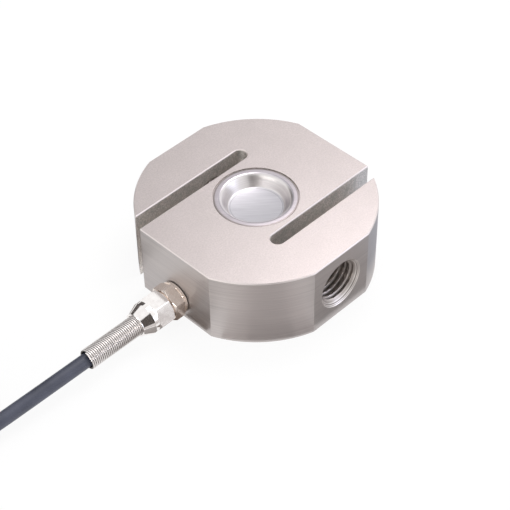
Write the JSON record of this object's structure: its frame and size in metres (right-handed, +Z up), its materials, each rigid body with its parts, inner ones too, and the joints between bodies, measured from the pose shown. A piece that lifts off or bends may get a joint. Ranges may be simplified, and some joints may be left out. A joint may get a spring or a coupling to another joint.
{
  "type": "s type load cell",
  "caption": "Round S type load cell with threaded load holes, sealed gauge pockets, and a cable gland with a strain relief spring and a coiled cable.",
  "frame": {"origin": "centre of the body's bottom face, on the axis of the round pockets", "axes": "+Z up through the thickness, X along the slots and the cable gland with the gland on -X, Y along the load axis through the two threaded holes"},
  "size_m": [0.273, 0.1449, 0.0335],
  "materials": {
    "stainless_body": "fine bead-blasted and turned satin steel",
    "cup_steel": "pressed bright steel sheet",
    "gauge_foil": "polyimide film with metal grids",
    "board": "glass fibre board with copper pads",
    "resistor": "dark chips with tinned ends",
    "bridge_wire": "enamelled copper wire",
    "core_insulation": "coloured core insulation",
    "gasket_rubber": "black rubber",
    "gland_nickel": "nickel-plated brass",
    "seal_rubber": "black rubber",
    "thrust_plastic": "white nylon",
    "nut_nickel": "nickel-plated brass",
    "spring_steel": "bright spring wire",
    "cable_jacket": "dark blue-grey PVC",
    "tie_plastic": "black nylon",
    "sleeve_plastic": "black shrunk sleeve",
    "white_insulation": "white insulation",
    "green_insulation": "green insulation",
    "shield_insulation": "yellow sleeving over the drain wire",
    "black_insulation": "black insulation",
    "red_insulation": "red insulation"
  },
  "bodies": {
    "root": {"body": "stainless_body", "upper_sealing_cup": "cup_steel", "lower_sealing_cup": "cup_steel", "upper_strain_gauge": "gauge_foil", "lower_strain_gauge": "gauge_foil", "upper_terminal_board": "board", "lower_terminal_board": "board", "trim_resistors": "resistor", "upper_gauge_wires": "bridge_wire", "lower_gauge_wires": "bridge_wire", "through_wires": "bridge_wire", "core_wires": "core_insulation", "gland_gasket": "gasket_rubber", "gland_base": "gland_nickel", "cable_seal": "seal_rubber", "thrust_ring": "thrust_plastic", "gland_nut": "nut_nickel", "strain_relief_spring": "spring_steel", "cable": "cable_jacket", "cable_coil": "cable_jacket", "cable_tail": "cable_jacket", "coil_ties": "tie_plastic", "cable_end_sleeve": "sleeve_plastic", "lead_white": "white_insulation", "lead_green": "green_insulation", "lead_shield": "shield_insulation", "lead_black": "black_insulation", "lead_red": "red_insulation"}
  },
  "joints": []
}
